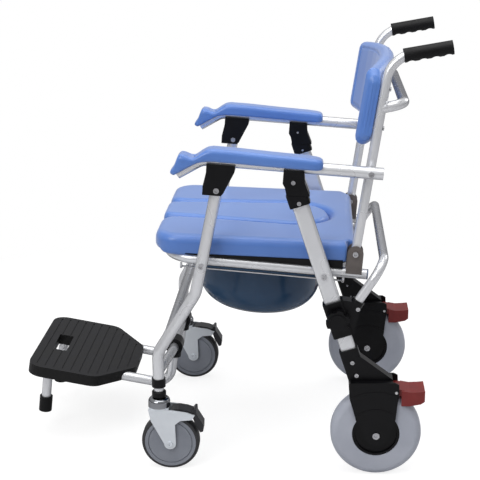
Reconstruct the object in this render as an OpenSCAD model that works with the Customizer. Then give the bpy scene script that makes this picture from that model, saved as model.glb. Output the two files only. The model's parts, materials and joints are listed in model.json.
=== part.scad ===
// Folding shower commode chair on four wheels
// X is across the chair, the sitter faces -Y, Z is up, and the floor is at zero.
// Side places are pairs [along Y from the rear axle, height], in millimetres.

/* [Stance] */
// Half the distance between the left and right leg planes
track_half = 254; // [250:1:270]
// Distance from a leg plane in to the centre of a seat rail
rail_inset = 36; // [34:1:46]
// Diameter of the rear wheels
wheel_d = 195; // [185:1:205]
// Front pivot of the seat rails, ahead of the rear axle
pivot_ahead = 373; // [366:1:380]
// Height of the front pivot
pivot_height = 468; // [462:1:475]
// Slope of the seat rails, down to the rear, in degrees
rail_slope = 4.6; // [4:0.1:5]
// Distance along the rail from the front pivot to the rear leg's pivot
rear_pivot_run = 258; // [252:1:264]
// Distance along the rail from the front pivot to the back hinge
back_pivot_run = 320; // [316:1:326]
// Height of the back hinge over the rail's centre line
back_pivot_rise = 46; // [43:1:49]
// Length of the front legs from the seat pivot up to the armrest pivot
front_link_len = 168.5; // [164:0.5:172]
// Rearward lean of the front legs above their bend, in degrees
front_lean = 11.8; // [11:0.1:12.5]
// Length of the back tubes from the hinge up to the armrest pivot
back_link_len = 182.5; // [178:0.5:186]
// Rearward lean of the back tubes, in degrees
back_lean = 8.6; // [8:0.1:9.2]

/* [Tubes] */
// Diameter of the front legs
leg_d = 25; // [24:0.5:28]
// Diameter of the armrest tubes
arm_d = 25; // [22:0.5:26]
// Diameter of the seat frame tube
rail_d = 22; // [20:0.5:24]
// Diameter of the back tubes
back_d = 20; // [18:0.5:21]
// Diameter of the back hoop
hoop_d = 22; // [18:0.5:24]
// Diameter of the upper cross-bar between the front legs
bar_d = 22; // [18:0.5:24]
// Diameter of the lower cross-bar, on which the footrest turns
flip_bar_d = 20; // [18:0.5:22]
// Diameter of the rear brace tube
brace_d = 20; // [18:0.5:22]
// Diameter of the footrest tubes
foot_d = 22; // [18:0.5:24]
// Wall of the round tubes
tube_wall = 1.6; // [1.2:0.1:2]
// Radius of the bends in the legs and the armrests
leg_bend_r = 45; // [40:1:50]

/* [Front legs] */
// Length of the leg below the front pivot, down to the upper bend
leg_bend_drop = 66; // [60:1:70]
// Caster stem, ahead of the rear axle
stem_ahead = 470; // [464:1:476]
// Height of the lower bend
leg_bend_z = 268; // [262:1:272]
// Height of the leg's lower end
leg_end_z = 193; // [190:1:196]
// Height of the upper cross-bar
bar_z = 306; // [296:1:310]
// Lower cross-bar, behind the caster stem
flip_bar_behind = 17; // [14:1:20]
// Height of the lower cross-bar
flip_bar_z = 222; // [218:1:228]
// Outer diameter of the leg collars
collar_d = 30; // [29:0.5:34]
// Height of a leg collar
collar_h = 19; // [16:1:20]
// Top of the telescoping stem
stem_top_z = 250; // [246:1:252]
// Outer diameter of the ring at the foot of the stem
ring_d = 31; // [29:0.5:34]
// Height of that ring
ring_h = 15; // [12:1:16]

/* [Casters] */
// Diameter of a caster wheel
caster_d = 127; // [120:1:130]
// Width of a caster wheel
caster_w = 32; // [28:1:34]
// Caster axle, behind the stem
caster_trail = 24; // [20:1:28]
// Height of the fork's top plate
fork_top_z = 143; // [140:1:145]
// Thickness of the fork's sheet
fork_sheet = 3; // [2.5:0.1:3.5]
// Radius of the swivel dome
dome_r = 24; // [22:0.5:26]
// Height of the swivel dome
dome_h = 22; // [20:0.5:22.5]
// Diameter of the king pin
king_pin_d = 12; // [10:0.5:13]
// Diameter of the caster axle
caster_axle_d = 8; // [6:0.5:10]
// Diameter of the brake lever's rivet
rivet_d = 6; // [5:0.5:7]

/* [Rear legs] */
// Depth of the outer rear tube, fore and aft
rear_tube_l = 35; // [33:0.5:38]
// Width of the outer rear tube
rear_tube_w = 20; // [19:0.5:22]
// Wall of the outer rear tube
rear_wall = 1.5; // [1.4:0.1:2.8]
// Corner radius of the outer rear tube
rear_corner = 6; // [5:0.5:8]
// Length of the outer tube over its pivot
rear_tube_over = 175.5; // [172:0.5:178]
// Lower end of the inner tube
inner_from = 124; // [120:1:130]
// Upper end of the inner tube
inner_to = 345; // [335:1:350]
// Lower edge of the clamp, up the leg from the axle
clamp_from = 231; // [228:1:236]
// Length of the clamp
clamp_len = 79; // [76:1:84]
// Depth of the clamp's shelf under the outer tube
tube_seat = 19; // [16:1:22]
// Depth of the clamp, fore and aft
clamp_l = 44; // [42:1:48]
// Width of the clamp
clamp_w = 34; // [32:1:38]
// Height of the clamp knob's axis over the clamp's lower edge
knob_up = 42; // [38:1:46]
// Diameter of the clamp knob
knob_d = 50; // [44:1:54]
// Thickness of the clamp knob
knob_h = 20; // [16:1:24]
// Foot of the brace, over the clamp's lower edge
brace_up = 63; // [60:1:66]
// Foot of the brace, behind the leg's centre line
brace_back = 52; // [48:1:56]
// Brace bar, behind the rear axle
brace_behind = 10; // [8:1:14]
// Height of the brace bar over the front pivot
brace_rise = 8; // [6:1:14]
// Height of the latch between leg cap and armrest over the front pivot
latch_rise = 154; // [152:1:156]
// Lower edge of the leg cap, up the leg from its pivot
cap_over = 161.5; // [158:0.5:163]

/* [Rear wheels] */
// Width of a rear tyre
tyre_w = 44; // [40:1:46]
// Radius of the wheel hub
hub_r = 51; // [46:1:55]
// Width of the wheel hub
hub_w = 40; // [36:1:44]
// Diameter of the rear axles
axle_d = 12; // [10:0.5:14]
// Reach of the wheel fork, fore and aft
fork_reach = 114; // [108:1:120]
// Height of the wheel fork's cheeks
fork_height = 166; // [160:1:170]
// Thickness of a fork cheek
cheek = 4.5; // [4:0.5:5]
// Upper end of the fork's sleeve, up the leg from the axle
sleeve_to = 198; // [194:1:202]
// Length of a brake pedal
pedal_l = 58; // [52:1:62]
// Height of a brake pedal
pedal_h = 50; // [46:1:54]

/* [Seat] */
// Overhang of the seat pad past the centres of the rails
seat_overhang = 10; // [4:1:14]
// Half the length of the seat
seat_half_l = 214; // [208:1:217]
// Thickness of the seat
seat_thick = 39; // [36:1:44]
// Middle of the seat, ahead of the rear axle
seat_mid_ahead = 265; // [263:1:268]
// Height of the seat's underside at its middle over the front pivot
seat_rise = 11.5; // [11:0.5:16]
// Slope of the seat, down to the rear, in degrees
seat_slope = 2; // [1.5:0.1:2.5]
// Half the width of the keyhole at the front of the seat
key_front_half = 56; // [50:1:60]
// Radius of the keyhole's round end
key_r = 89; // [80:1:95]
// Distance from the seat's middle to the keyhole's end
key_end = 163; // [155:1:168]
// Gap around the seat insert
insert_gap = 1.5; // [1:0.1:2]
// Distance from the front pivot forward to the seat frame's front tube
rail_front_run = 77; // [72:1:82]
// Distance from the front pivot back to the rail ends
rail_rear_run = 348; // [346:1:354]
// Bend radius of the seat frame
rail_bend_r = 60; // [50:1:70]

/* [Bucket] */
// Inner radius of the bucket at its mouth
bucket_r = 136; // [130:1:142]
// Depth of the bucket
bucket_depth = 137; // [120:1:139]
// Wall of the bucket
bucket_wall = 3; // [2.5:0.1:4]
// Corner radius at the bottom of the bucket
bucket_corner = 62; // [55:1:80]
// Overhang of the bucket's flange past the centres of its wires
flange_overhang = 1; // [0.5:0.5:3]
// Half the length of the bucket's flange
flange_half_l = 150; // [146:1:155]
// Middle of the bucket, behind the front pivot along the rails
bucket_run = 118; // [114:1:124]
// Distance from a rail's centre in to the bucket's wire
wire_inset = 13; // [12:1:15]
// Diameter of the bucket wires
wire_d = 4; // [3:0.5:5]
// Depth of the bucket wires under the rail's centre line
wire_drop = 23; // [22:0.5:26]

/* [Back] */
// Length of the back tube from hinge to handle bend
back_len = 414; // [408:1:420]
// Bend radius at the push handles
handle_bend_r = 60; // [50:1:65]
// Length of the push handle behind its bend
handle_len = 123; // [118:1:128]
// Upward slope of the push handles, in degrees
handle_slope = 10; // [8:0.5:12]
// Length of a grip
grip_len = 99; // [92:1:102]
// Diameter of a grip
grip_d = 29; // [28:0.5:32]
// Height of the back hoop up the back tubes
hoop_run = 311; // [306:1:316]
// Reach of the back hoop behind the back tubes
hoop_reach = 48; // [44:1:54]
// Overhang of the back pad past the centres of the back tubes
pad_overhang = 7; // [2:1:8]
// Lower edge of the back pad, up the back tubes
pad_from = 228; // [222:1:234]
// Upper edge of the back pad, up the back tubes
pad_to = 405; // [400:1:408]
// Thickness of the back pad
pad_thick = 33; // [28:1:36]
// Depth of the back pad's curve
pad_curve = 34; // [28:1:38]

/* [Armrests] */
// Slope of the armrest tubes, down to the rear, in degrees
arm_slope = 4.3; // [4:0.1:4.8]
// Distance from the rear pivot to the armrest's front bend
arm_len = 346; // [342:1:350]
// Length of the armrest tube in front of its bend
arm_nose = 60; // [56:1:64]
// Downward turn of the armrest's nose, in degrees
arm_turn = 33.5; // [30:0.5:37]
// Length of the armrest tube behind its rear pivot
arm_tail = 25; // [20:1:28]
// Width of an armrest pad
arm_pad_w = 48; // [44:1:48]
// Length of an armrest pad
arm_pad_l = 315; // [308:1:318]
// Height of an armrest pad over the tube's centre line
arm_pad_h = 28; // [26:1:31]
// Rear end of the armrest pad, ahead of the rear pivot
arm_pad_from = 97; // [92:1:104]
// Width of the brackets under the armrests
bracket_w = 35; // [34:0.5:38]

/* [Footrest] */
// Half the distance between the footrest tubes
foot_half = 87; // [82:1:92]
// Rear corner of the footrest tubes, ahead of the rear axle
foot_corner_ahead = 468; // [464:1:472]
// Height of that corner
foot_corner_z = 123; // [120:1:128]
// Upward tilt of the footplate toward the toes, in degrees
foot_tilt = 10; // [8:0.5:12]
// Length of the footrest tubes from the corner to the front bend
foot_run = 285; // [278:1:290]
// Height of the feet over the floor
foot_clear = 50; // [46:1:56]
// Rear edge of the footplate, ahead of the corner
plate_from = 84; // [80:1:88]
// Length of the footplate
plate_l = 238; // [232:1:244]
// Half the width of the footplate
plate_half_w = 161; // [154:1:168]
// Thickness of the footplate's tread
plate_top = 6; // [5:0.5:7]
// Depth of the footplate's skirt
plate_skirt = 25; // [23:0.5:30]
// Wall of the footplate's skirt
plate_wall = 4; // [3:0.5:5]
// Number of grooves in the tread
groove_count = 11; // [6:1:14]

/* [Fits] */
// Radial clearance of pins and sliding tubes
fit_run = 0.05; // [0.02:0.01:0.1]
// Gap between pieces that are fixed to each other
fit_seat = 0.2; // [0.1:0.05:0.3]
// Gap between pieces that move past each other
fit_move = 0.5; // [0.4:0.05:0.8]

/* [Hidden] */
$fn = 48;
// Overrun of a cut past the face that it opens
over = 2;
left = 1;
right = -1;
bend_step = 0.1;
bend_lap = 0.8;

// Fasteners
bolt_d = 8;
bolt_head_d = 12;
bolt_head_h = 4.5;
spacer_d = 16;
screw_d = 5;
screw_head_d = 9;
screw_head_h = 2.5;

// Small sizes of single pieces
hinge_plate = 3;
hinge_plate_w = 34;
hinge_plate_up = 2;
back_stub = 16;
plug_depth = 22;
plug_face = 3;
leg_stub = 13;
bracket_slot_r = 22;
bracket_drop = 5.5;
wire_ahead = 46;
wire_behind = 300;
wire_hook_r = 6;
runner_w = 20;
runner_front_ahead = 410;
runner_rear_ahead = 76;
runner_cross_ahead = 142;
flange_t = 4;
flange_corner = 40;
bowl_rim_w = 5;
bowl_rim_h = 2;
seat_front_corner = 52;
seat_rear_corner = 30;
seat_mouth_corner = 40;
insert_corner = 20;
hoop_bend_r = 34;
brace_bend_r = 45;
brace_socket = 24;
brace_lip = 2;
brace_boss_wall = 4;
pad_rim = 22;
scallop_d = 24;
scallop_cut = 3.5;
scallop_count = 4;
king_pin_gap = 4;
stem_plug = 4;
foot_bend_r = 36;
tip_d = 30;
tip_h = 36;
tip_floor = 6;
foot_leg_lean = 7;
sleeve_d = 38;
sleeve_l = 36;
socket_d = 34;
socket_to = 27;
plate_corner = 34;
plate_rear_half_w = 88;
plate_full_share = 0.60;
groove_margin = 12;
groove_w = 3;
groove_depth = 1.6;
slot_w = 92;
slot_l = 33;
slot_from = 187;
flip_bar_straight = 118;
flip_bar_bend_r = 60;
core_r = 56;
core_groove_r = 48;
core_groove_w = 2;
core_groove_depth = 2;
core_gap = 1.4;
tyre_edge = 7;
rear_tyre_edge = 16;
hub_dish_r = 40;
hub_dish_depth = 5;
fork_gap = 2.6;
tyre_clear = 6;
crease_shares = [0.37, 0.61];
crease_w = 1.4;
crease_depth = 0.7;
pedal_hub_r = 7;
axle_head_d = 15;
sleeve_from = 116;
arm_hole_slack = 1;
half_turn = 180;
fold_max = 32;
fold_margin = 1;
fold_sweep = 120;
knob_lobes = 6;
knob_dent_d = 14;
knob_dent_share = 1.1;
knob_cap_d = 34;
knob_cap_h = 2;
knob_shank = 6;
knob_gap = 0.5;
dome_round = 9;
ring_edge = 2.5;
rivet_head = 0.8;
caster_hub_r = 13;
caster_top_half_l = 22;

// Outlines, as shares of the sizes that they follow
// Front armrest bracket: along the armrest and above the front pivot, shares of the link
front_bracket_shares = [[-0.115, 0.326], [0.237, 0.32], [0.223, 0.223], [0.157, 0.10], [0.084, -0.039],
                        [0.055, -0.069], [-0.173, -0.054], [-0.166, 0.054], [-0.122, 0.223]];
// Rear armrest bracket: along Y and above the latch, shares of the latch's distance to the tube
rear_bracket_shares = [[-0.36, 0], [-0.42, 0.30], [-0.50, 0.46], [-0.46, 1.0], [0.26, 1.0], [0.28, 0.48],
    [0.46, 0]];
// Wheel fork's cheek: along Y from the axle and up from the axle, shares of reach and height
cheek_shares = [[0.20, -0.083], [0.31, 0.10], [0.36, 0.23], [0.38, 0.40], [0.416, 0.60], [0.405, 0.71],
                [0.335, 0.735], [-0.50, 0.72], [-0.53, 0.695], [-0.51, 0.51], [-0.44, 0.35], [-0.38, 0.20],
                [-0.29, 0.08], [-0.20, -0.083], [-0.10, -0.14], [0, -0.157], [0.10, -0.14]];
// Web between the fork's sleeve and its cheeks, in the leg's own lean
web_shares = [[0, 0.66], [0.65, 0.61], [0.175, 1.07], [0, 1.07]];
// Brake pedal and its neck: along and up from its pivot, shares of length and height
pedal_shares = [[0.19, -0.60], [0.50, -0.60], [0.90, -0.50], [1.04, -0.38], [1.04, 0.08], [0.80, 0.05],
                [0.50, 0.03], [0.19, 0.09]];
neck_shares = [[0, -0.14], [0.30, -0.40], [0.30, 0.08], [0, 0.14]];
// Caster fork's cheek: behind the stem and up from the floor, shares of the top plate's height
caster_shares = [[-0.155, 1.0], [0.20, 0.995], [0.42, 0.965], [0.555, 0.92], [0.51, 0.845], [0.33, 0.825],
                 [0.25, 0.76], [0.26, 0.46], [0.10, 0.40], [-0.12, 0.82]];
// Caster brake lever: behind the stem and up from the floor, shares of the top plate's height
brake_shares = [[0.19, 0.985], [0.30, 1.005], [0.43, 0.985], [0.51, 0.955], [0.545, 1.0], [0.575, 0.995],
                [0.58, 0.92], [0.68, 0.75], [0.675, 0.64], [0.63, 0.625], [0.555, 0.76], [0.515, 0.88],
                [0.42, 0.935], [0.32, 0.94], [0.295, 0.91], [0.21, 0.91], [0.19, 0.935]];
brake_pivot_shares = [0.245, 0.93];
// Armrest pad: from the rear end, underside, top and half width, shares of length, height and half width
arm_pad_shares = [[0, 0.12, 0.55, 0.62], [0.012, 0.04, 0.72, 0.84], [0.04, -0.02, 0.80, 0.97],
                  [0.11, -0.03, 0.85, 1], [0.345, -0.02, 0.90, 1], [0.58, 0.02, 0.98, 1],
                      [0.72, 0.02, 0.98, 1],
                  [0.753, -0.01, 0.89, 1], [0.792, -0.08, 0.60, 1], [0.816, -0.16, 0.37, 1],
                  [0.839, -0.28, 0.20, 1], [0.863, -0.46, 0.21, 1], [0.894, -0.67, 0.37, 1],
                  [0.925, -0.90, 0.43, 0.98], [0.945, -1.04, 0.23, 0.94], [0.973, -1.25, -0.58, 0.84],
                  [1, -1.19, -1.0, 0.6]];
// Edge of the seat pads: height and inset, shares of thickness and of the inset
edge_shares = [[0, 0.36], [0.07, 0.10], [0.22, 0], [0.62, 0], [0.80, 0.14], [0.93, 0.44], [1, 1]];
seat_inset = 17;
insert_inset = 11;
// Back pad: places across the half width
pad_across_shares = [-1, -0.975, -0.92, -0.80, -0.62, -0.40, -0.20, 0, 0.20, 0.40, 0.62, 0.80, 0.92, 0.975,
    1];
pad_side_drop_share = 0.9;
pad_end_share = 0.92;
pad_round_steps = 6;

// Places worked out from the sizes
function unit(v) = v / norm(v);
rail_half = track_half - rail_inset;
wire_half = rail_half - wire_inset;
flange_half_w = wire_half + flange_overhang;
seat_half_w = rail_half + seat_overhang;
pad_half_w = rail_half + pad_overhang;
axle = [0, wheel_d / 2];
front_pivot = [-pivot_ahead, pivot_height];
rail_dir = [cos(rail_slope), -sin(rail_slope)];
rail_up = [sin(rail_slope), cos(rail_slope)];
rear_pivot = front_pivot + rear_pivot_run * rail_dir;
back_pivot = front_pivot + back_pivot_run * rail_dir + back_pivot_rise * rail_up;
front_dir = [sin(front_lean), cos(front_lean)];
back_dir = [sin(back_lean), cos(back_lean)];
back_rear = [cos(back_lean), -sin(back_lean)];
arm_front_pivot = front_pivot + front_link_len * front_dir;
arm_rear_pivot = back_pivot + back_link_len * back_dir;
seat_bottom_z = pivot_height + seat_rise;
latch_z = pivot_height + latch_rise;
arm_dir = [cos(arm_slope), -sin(arm_slope)];
arm_up = [sin(arm_slope), cos(arm_slope)];
rear_leg_dir = unit(rear_pivot - axle);
rear_leg_back = [rear_leg_dir[1], -rear_leg_dir[0]];
rear_lean = atan2(-rear_leg_dir[0], rear_leg_dir[1]);
rear_pivot_up = norm(rear_pivot - axle);
rear_tube_from = clamp_from + tube_seat;
rear_tube_to = rear_pivot_up + rear_tube_over;
cap_from = rear_pivot_up + cap_over;
clamp_to = clamp_from + clamp_len;
knob_run = clamp_from + knob_up;
brace_run = clamp_from + brace_up;
function on_rear_leg(run, back) = axle + run * rear_leg_dir + back * rear_leg_back;
function on_back(run, back) = back_pivot + run * back_dir + back * back_rear;
function on_arm(ahead, above) = arm_rear_pivot - ahead * arm_dir + above * arm_up;
function arm_axis_z(y) = arm_rear_pivot[1] + (arm_rear_pivot[0] - y) * tan(arm_slope);
function rail_top_z(y) =
    pivot_height - (y + pivot_ahead) * tan(rail_slope) + (rail_d / 2 + fit_seat) / cos(rail_slope);
function seat_under_z(y) = seat_bottom_z - (y + seat_mid_ahead) * tan(seat_slope) - fit_seat;

// Paths of the tubes
leg_upper_bend = front_pivot - leg_bend_drop * front_dir;
leg_path = [arm_front_pivot + leg_stub * front_dir, leg_upper_bend, [-stem_ahead, leg_bend_z],
            [-stem_ahead, leg_end_z]];
leg_slant_dir = unit(leg_path[2] - leg_path[1]);
bar_place = leg_path[1] + (bar_z - leg_path[1][1]) / leg_slant_dir[1] * leg_slant_dir;
flip_bar_place = [flip_bar_behind - stem_ahead, flip_bar_z];
arm_bend = on_arm(arm_len, 0);
arm_nose_angle = 180 - arm_slope + arm_turn;
arm_path = [on_arm(-arm_tail, 0), arm_bend, arm_bend + arm_nose * [cos(arm_nose_angle), sin(arm_nose_angle)]];
back_bend = on_back(back_len, 0);
handle_dir = [cos(handle_slope), sin(handle_slope)];
handle_end = back_bend + handle_len * handle_dir;
back_path = [on_back(-back_stub, 0), back_bend, handle_end];
brace_base = on_rear_leg(brace_run, brace_back);
brace_top = [brace_behind, pivot_height + brace_rise];
brace_len = norm(brace_top - brace_base);
brace_angle = atan2(brace_top[1] - brace_base[1], brace_top[0] - brace_base[0]);
foot_corner = [-foot_corner_ahead, foot_corner_z];
foot_dir = [-cos(foot_tilt), sin(foot_tilt)];
foot_front = foot_corner + foot_run * foot_dir;
foot_leg_dir = [sin(foot_leg_lean), cos(foot_leg_lean)];
foot_leg_len = (foot_front[1] - foot_clear - tip_d / 2 * sin(foot_leg_lean)) / cos(foot_leg_lean) - tip_floor;
foot_end = foot_front - foot_leg_len * foot_leg_dir;
upright_dir = unit(flip_bar_place - foot_corner);
upright_end = flip_bar_place - (flip_bar_d / 2 + fit_seat + tube_wall) * upright_dir;
foot_path = [foot_end, foot_front, foot_corner, upright_end];
plate_rise = foot_d / 2 + fit_seat + plate_top;

// The chair's front and rear ends set the origin in the middle of its length
plate_front_y = foot_corner[0] - (plate_from + plate_l) * cos(foot_tilt)
    + (plate_rise - plate_skirt) * sin(foot_tilt);
grip_end = handle_end + plug_face * handle_dir;
grip_rear_y = grip_end[0] + grip_d / 2 * sin(handle_slope);
shift_y = -(plate_front_y + grip_rear_y) / 2;

// Fork of the rear wheels
fork_half_w = tyre_w / 2 + fork_gap + cheek;
fork_outer_w = 2 * fork_half_w;
sleeve_l_fa = rear_tube_l - 2 * rear_wall + 2 * cheek;
inner_l = rear_tube_l - 2 * rear_wall - 2 * fit_run;
inner_w = rear_tube_w - 2 * rear_wall - 2 * fit_run;
inner_corner = rear_corner - rear_wall;
sleeve_w_x = inner_w + 2 * fit_seat + 2 * cheek;
pedal_pivot_shares = [0.36, 0.60];
pedal_pivot = [pedal_pivot_shares[0] * fork_reach, pedal_pivot_shares[1] * fork_height];
pocket_half_w = tyre_w / 2 + fork_gap;
neck_half_w = pocket_half_w - fit_move;
caster_fork_in = caster_w / 2 + fork_sheet;
caster_fork_out = caster_fork_in + fork_sheet;
stem_d = leg_d - 2 * tube_wall - 2 * fit_run;
stem_bottom_z = fork_top_z + dome_h + fit_move;
king_pin_top_z = leg_end_z - plug_face - king_pin_gap;
stem_plug_z = king_pin_top_z + stem_plug;
ring_bottom_z = stem_bottom_z + fit_seat;
seat_key_y = key_end - key_r;
key_lean = asin((key_r - key_front_half) / (seat_key_y + seat_half_l));
// Half the keyhole's width along its straight sides
function key_half(y) = (key_front_half + (y + seat_half_l) * sin(key_lean)) / cos(key_lean);
// Share of the back pad's half width between the back tubes
pad_inner_share = (rail_half - back_d / 2 - fit_seat) / pad_half_w;

// Shared frames
module place(side) {
    translate([0, shift_y, 0]) mirror([side < 0 ? 1 : 0, 0, 0]) children();
}
module both() {
    place(left) children();
    place(right) children();
}
// Draws in a plane along the chair: local x is Y, local y is Z, local z is X
module in_side_plane(x) {
    translate([x, 0, 0]) rotate([90, 0, 90]) children();
}
module on_rail() {
    translate([0, front_pivot[0], front_pivot[1]]) rotate([-rail_slope, 0, 0]) children();
}
module on_seat() {
    translate([0, -seat_mid_ahead, seat_bottom_z]) rotate([-seat_slope, 0, 0]) children();
}
module at_rear_leg() {
    translate([track_half, axle[0], axle[1]]) rotate([rear_lean, 0, 0]) children();
}
module at_caster() {
    translate([track_half, -stem_ahead, 0]) children();
}
module at_footrest() {
    translate([0, foot_corner[0], foot_corner[1]]) rotate([-foot_tilt, 0, 0]) children();
}

// Shared shapes
function turn_at(p, i) = let (u = unit(p[i] - p[i - 1]), v = unit(p[i + 1] - p[i])) atan2(cross(u, v), u * v);
function tangent_at(p, i, r) = r * tan(abs(turn_at(p, i)) / 2);
// Round rod along a flat path, with bends of one radius; ext lengthens both ends
// A bend is a hair thinner than the straights and its ends lap into them
module path_rod(p, bend, d, ext) {
    last = len(p) - 1;
    for (i = [0:last - 1]) {
        u = unit(p[i + 1] - p[i]);
        from = i == 0 ? -ext : tangent_at(p, i, bend);
        to = i == last - 1 ? -ext : tangent_at(p, i + 1, bend);
        start = p[i] + from * u;
        translate([start[0], start[1], 0]) rotate([0, 0, atan2(u[1], u[0])]) rotate([0, 90, 0])
            cylinder(d = d, h = norm(p[i + 1] - p[i]) - from - to);
    }
    for (i = [1:1:last - 1]) {
        t = turn_at(p, i);
        u = unit(p[i] - p[i - 1]);
        n = sign(t) * [-u[1], u[0]];
        centre = p[i] - tangent_at(p, i, bend) * u + bend * n;
        from = atan2(-n[1], -n[0]);
        lap = bend_lap / bend * 180 / PI;
        translate([centre[0], centre[1], 0]) rotate([0, 0, (t > 0 ? from : from + t) - lap])
            rotate_extrude(angle = abs(t) + 2 * lap) translate([bend, 0]) circle(d = d - 2 * bend_step);
    }
}
module path_tube(p, bend, d, wall) {
    difference() {
        path_rod(p, bend, d, 0);
        path_rod(p, bend, d - 2 * wall, over);
    }
}
// Rod across the chair between two distances from the middle plane
module cross_rod(y, z, x_from, x_to, d) {
    translate([x_from, y, z]) rotate([0, 90, 0]) cylinder(d = d, h = x_to - x_from);
}
// Bolt across the chair: domed head at x_to, hexagon nut at x_from
module cross_bolt(place_yz, x_from, x_to, d) {
    cross_rod(place_yz[0], place_yz[1], x_from - bolt_head_h, x_to, d);
    translate([x_to, place_yz[0], place_yz[1]]) rotate([0, 90, 0]) button_head(bolt_head_d, bolt_head_h);
    translate([x_from - bolt_head_h, place_yz[0], place_yz[1]]) rotate([0, 90, 0])
        cylinder(d = bolt_head_d, h = bolt_head_h, $fn = 6);
}
// Round head with a hexagon socket
module button_head(d, h) {
    difference() {
        cylinder(d = d, h = h);
        translate([0, 0, h / 2]) cylinder(d = d / 2, h = h, $fn = 6);
    }
}
module rounded_square(l, w, r) {
    square([l - 2 * r, w], center = true);
    square([l, w - 2 * r], center = true);
    for (x = [-1, 1], y = [-1, 1]) translate([x * (l / 2 - r), y * (w / 2 - r)]) circle(r = r);
}
function scaled(shares, size) = [for (s = shares) [s[0] * size[0], s[1] * size[1]]];
// Closed solid through a stack of rings with equal counts of points; cap lists the faces of a hollow end
module skin(rings, cap = []) {
    n = len(rings[0]);
    m = len(rings);
    points = [for (r = rings) for (p = r) p];
    sides = [for (j = [0:m - 2]) for (i = [0:n - 1]) for (f = let (a = j * n + i, b = j * n + (i + 1) % n)
             [[a, a + n, b], [b, a + n, b + n]]) f];
    bottom = len(cap) > 0 ? cap : [[for (i = [0:n - 1]) i]];
    top = [for (f = bottom) [for (i = [len(f) - 1:-1:0]) (m - 1) * n + f[i]]];
    polyhedron(points = points, faces = concat(sides, bottom, top));
}
function arc(centre, r, from, to, steps) =
    [for (i = [0:steps]) let (a = from + (to - from) * i / steps) centre + r * [cos(a), sin(a)]];
// Outline moved inward by a distance, corner by corner
function inset(p, d) = let (n = len(p)) [for (i = [0:n - 1])
    let (u = unit(p[i] - p[(i + n - 1) % n]), v = unit(p[(i + 1) % n] - p[i]), a = [-u[1], u[0]],
        b = [-v[1], v[0]])
    p[i] + d * (a + b) / (1 + a * b)];
// Moulded pad: an outline with rounded edges
module moulded_pad(outline, thick, edge, cap = []) {
    skin([for (s = edge_shares) [for (p = inset(outline, s[1] * edge)) [p[0], p[1], s[0] * thick]]], cap);
}

// Seat frame
module seat_frame_tube() {
    path = [[rail_half, rail_rear_run], [rail_half, -rail_front_run], [-rail_half, -rail_front_run],
            [-rail_half, rail_rear_run]];
    color("silver") place(left) on_rail() difference() {
        path_tube(path, rail_bend_r, rail_d, tube_wall);
        for (run = [0, rear_pivot_run], x = [-rail_half, rail_half])
            cross_rod(run, 0, x - rail_d, x + rail_d, bolt_d + 2 * fit_run);
    }
}
module rail_plugs() {
    color("slategray") both() on_rail() translate([rail_half, rail_rear_run, 0]) rotate([-90, 0, 0]) {
        translate([0, 0, fit_seat]) cylinder(d = rail_d, h = plug_face);
        translate([0, 0, -plug_depth])
            cylinder(d = rail_d - 2 * tube_wall - 2 * fit_seat, h = plug_depth + plug_face);
    }
}
module hinge_brackets() {
    offset_x = rail_d / 2 + fit_seat;
    color("dimgray") both() on_rail() for (side = [-1, 1])
        in_side_plane(rail_half + side * (offset_x + hinge_plate / 2))
            linear_extrude(hinge_plate, center = true)
            difference() {
                union() {
                    translate([back_pivot_run - hinge_plate_w / 2, hinge_plate_up])
                        square([hinge_plate_w, back_pivot_rise - hinge_plate_up]);
                    translate([back_pivot_run, back_pivot_rise]) circle(d = hinge_plate_w);
                }
                translate([back_pivot_run, back_pivot_rise]) circle(d = bolt_d + 2 * fit_run);
            }
}
// Wires under the rails that carry the bucket; each end hooks out and up to its rail
module bucket_wires() {
    hook_top = -rail_d / 2 - fit_seat;
    hook_d = wire_d + 2 * fit_move;
    color("lightgray") both() on_rail() {
        translate([wire_half, -wire_ahead, -wire_drop]) rotate([-90, 0, 0])
            cylinder(d = wire_d, h = wire_ahead + wire_behind);
        for (run = [-wire_ahead, wire_behind]) {
            translate([0, run, 0]) rotate([90, 0, 0])
                path_rod([[wire_half - hook_d / 2, -wire_drop], [rail_half, -wire_drop],
                    [rail_half, hook_top]],
                         wire_hook_r, hook_d, 0);
        }
    }
}
// Wedge-shaped runners and rear cross strip between the rails and the seat
module seat_base() {
    color("black") place(left) {
        for (side = [-1, 1]) in_side_plane(side * rail_half)
            linear_extrude(runner_w, center = true) base_profile(runner_front_ahead);
        in_side_plane(0) linear_extrude(2 * rail_half - runner_w / 2, center = true)
            base_profile(runner_cross_ahead);
    }
}
module base_profile(ahead) {
    polygon([[-ahead, rail_top_z(-ahead)], [-runner_rear_ahead, rail_top_z(-runner_rear_ahead)],
             [-runner_rear_ahead, seat_under_z(-runner_rear_ahead)], [-ahead, seat_under_z(-ahead)]]);
}
// Steps of the arcs in the seat's outline, and the order of its outer points
mouth_steps = 6;
corner_steps = 8;
key_steps = 20;
seat_rear_first = mouth_steps + corner_steps + 2;
seat_rear_mid = seat_rear_first + corner_steps + 1;
seat_outer_last = 2 * seat_rear_mid;
// Step of the keyhole that an outer point of the seat faces
function faced_step(i) =
    i < seat_rear_mid ? max(0, i - seat_rear_first) : i == seat_rear_mid ? key_steps / 2
    : min(key_steps, i - seat_rear_mid - 1 + key_steps - corner_steps);
function key_point(step) = seat_outer_last + 1 + key_steps - step;
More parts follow.
